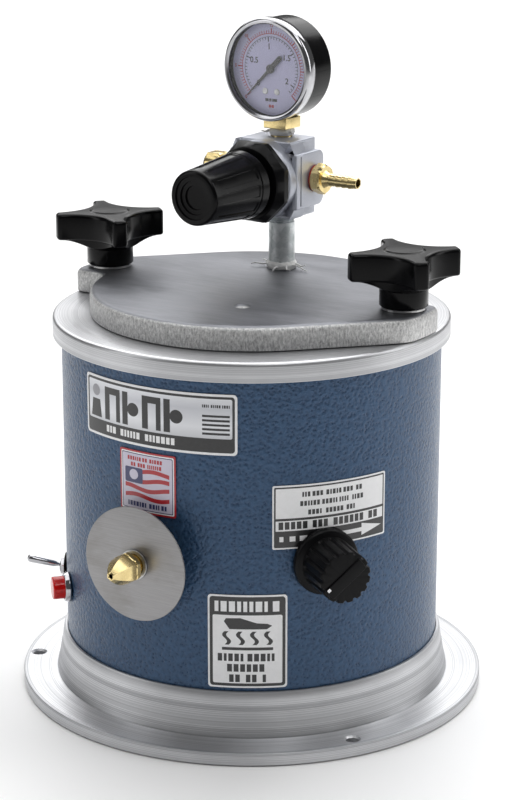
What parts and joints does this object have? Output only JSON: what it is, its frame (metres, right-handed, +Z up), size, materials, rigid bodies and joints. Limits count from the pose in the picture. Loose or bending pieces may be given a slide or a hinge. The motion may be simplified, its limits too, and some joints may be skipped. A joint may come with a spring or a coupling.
{
  "type": "heated wax injection pot",
  "caption": "Round heated pressure pot on a bolt-down flange: clamped lid with star knobs, air regulator and gauge on top, push-in nozzle, temperature knob, switch and lamp on the shell.",
  "frame": {"origin": "centre of the base's underside, on the surface it stands on", "axes": "+Z up the pot's axis; -Y the way the injection nozzle points; +X to the right seen from the front"},
  "size_m": [0.2414, 0.2489, 0.3422],
  "materials": {
    "turned_aluminium": "turned, fine concentric tool marks",
    "cast_aluminium": "sand-cast sides, ground top with faint smudges",
    "zinc_casting": "silver-painted die casting",
    "plated_steel": "plain plated steel",
    "stainless_sheet": "brushed stainless",
    "chrome": "bright plated",
    "galvanised": "zinc coated pipe with spangle",
    "brass": "machined",
    "blue_hammertone": "blue hammertone enamel",
    "gloss_black": "gloss moulded or enamelled black",
    "satin_black": "satin moulded black",
    "rubber": "black rubber",
    "red_lens": "translucent red",
    "clear_lens": "clear window",
    "dial_print": "printed dial",
    "mineral_fibre": "pale fibre blanket",
    "sticker": "glossy printed vinyl"
  },
  "bodies": {
    "pot": {"base_flange": "turned_aluminium", "bottom_cover": "plated_steel", "cover_screw_1": "plated_steel", "cover_screw_2": "plated_steel", "cover_screw_3": "plated_steel", "outer_shell": "blue_hammertone", "tie_rod_1": "plated_steel", "tie_rod_2": "plated_steel", "tie_rod_3": "plated_steel", "wax_pot": "turned_aluminium", "lid_gasket": "rubber", "band_heater": "stainless_sheet", "insulation_wrap": "mineral_fibre", "stud_left": "plated_steel", "stud_right": "plated_steel", "thermostat_body": "satin_black", "switch_body": "satin_black", "switch_nut": "chrome", "lamp_body": "satin_black", "lamp_bezel": "chrome", "lamp_lens": "red_lens", "cord_grommet": "rubber", "nozzle_body": "brass", "nozzle_spring": "plated_steel", "heat_shield_disc": "stainless_sheet", "shield_retaining_ring": "plated_steel", "nameplate_sticker": "sticker", "badge_sticker": "sticker", "temperature_sticker": "sticker", "caution_sticker": "sticker"},
    "lid": {"lid": "cast_aluminium", "vent_plug": "plated_steel", "pipe_nipple": "galvanised", "regulator_body": "zinc_casting", "regulator_diaphragm": "rubber", "regulator_bonnet": "satin_black", "bonnet_nut": "satin_black", "range_spring": "plated_steel", "hose_barb": "brass", "relief_valve_body": "brass", "gauge_socket": "brass", "gauge_case": "gloss_black", "gauge_bezel": "chrome", "gauge_lens": "clear_lens", "gauge_dial": "dial_print", "bourdon_tube": "brass"},
    "washer_left": {"washer_left": "plated_steel"},
    "knob_left": {"star_knob_left": "gloss_black"},
    "washer_right": {"washer_right": "plated_steel"},
    "knob_right": {"star_knob_right": "gloss_black"},
    "nozzle": {"nozzle_tip": "brass"},
    "temperature_dial": {"temperature_knob": "satin_black", "thermostat_shaft": "plated_steel"},
    "toggle": {"toggle_lever": "chrome"},
    "adjusting_screw": {"adjusting_screw": "plated_steel"},
    "regulator_knob": {"regulator_knob": "gloss_black"},
    "spring_seat": {"spring_seat": "plated_steel"},
    "relief_stem": {"relief_stem": "brass"},
    "pull_ring": {"pull_ring": "plated_steel"},
    "pointer": {"gauge_pointer": "satin_black"}
  },
  "joints": [
    {"name": "lid_lift", "type": "slide", "parent": "pot", "child": "lid", "axis": [0, 0, 1], "range_m": [0, 0.06]},
    {"name": "left_knob_rise", "type": "slide", "parent": "lid", "child": "washer_left", "axis": [0, 0, 1], "range_m": [0, 0.0048]},
    {"name": "left_knob_turn", "type": "hinge", "parent": "washer_left", "child": "knob_left", "pos_m": [-0.08768, 0, 0.225], "axis": [0, 0, 1], "range_deg": [0, 1080]},
    {"name": "right_knob_rise", "type": "slide", "parent": "lid", "child": "washer_right", "axis": [0, 0, 1], "range_m": [0, 0.0048]},
    {"name": "right_knob_turn", "type": "hinge", "parent": "washer_right", "child": "knob_right", "pos_m": [0.08768, 0, 0.225], "axis": [0, 0, 1], "range_deg": [0, 1080]},
    {"name": "nozzle_push", "type": "slide", "parent": "pot", "child": "nozzle", "axis": [0, 1, 0], "range_m": [0, 0.003], "stiffness_N_per_m": 600, "springref_m": -0.002, "deforming": ["nozzle_spring"]},
    {"name": "temperature_turn", "type": "hinge", "parent": "pot", "child": "temperature_dial", "pos_m": [0.07986, -0.06018, 0.09554], "axis": [0.7986, -0.6018, 0], "range_deg": [-300, 0]},
    {"name": "toggle_flip", "type": "hinge", "parent": "pot", "child": "toggle", "pos_m": [-0.08658, -0.04604, 0.056], "axis": [0.4695, -0.8829, 0], "range_deg": [0, 24]},
    {"name": "pressure_turn", "type": "hinge", "parent": "lid", "child": "adjusting_screw", "pos_m": [-0.01102, -0.00673, 0.26004], "axis": [0.0523, 0.9986, 0], "range_deg": [0, 1440]},
    {"name": "knob_pull", "type": "slide", "parent": "adjusting_screw", "child": "regulator_knob", "axis": [-0.0523, -0.9986, 0], "range_m": [0, 0.003]},
    {"name": "seat_travel", "type": "slide", "parent": "lid", "child": "spring_seat", "axis": [0.0523, 0.9986, 0], "range_m": [0, 0.005], "deforming": ["range_spring"]},
    {"name": "relief_pull", "type": "slide", "parent": "lid", "child": "relief_stem", "axis": [-0.9986, 0.0523, 0], "range_m": [0, 0.0025], "stiffness_N_per_m": 300, "springref_m": -0.001},
    {"name": "ring_swing", "type": "hinge", "parent": "relief_stem", "child": "pull_ring", "pos_m": [-0.05613, 0.0457, 0.26004], "axis": [-0.0523, -0.9986, 0], "range_deg": [-90, 10]},
    {"name": "pointer_sweep", "type": "hinge", "parent": "lid", "child": "pointer", "pos_m": [-0.00887, 0.03421, 0.31574], "axis": [0.0523, 0.9986, 0], "range_deg": [0, 270], "stiffness_Nm_per_rad": 0.0005, "springref_deg": -28.65}
  ],
  "couplings": [
    {"joint": "left_knob_rise", "follows": "left_knob_turn", "m_per_rad": 0.00025266},
    {"joint": "right_knob_rise", "follows": "right_knob_turn", "m_per_rad": 0.00025266},
    {"joint": "seat_travel", "follows": "pressure_turn", "m_per_rad": 0.00019894}
  ]
}
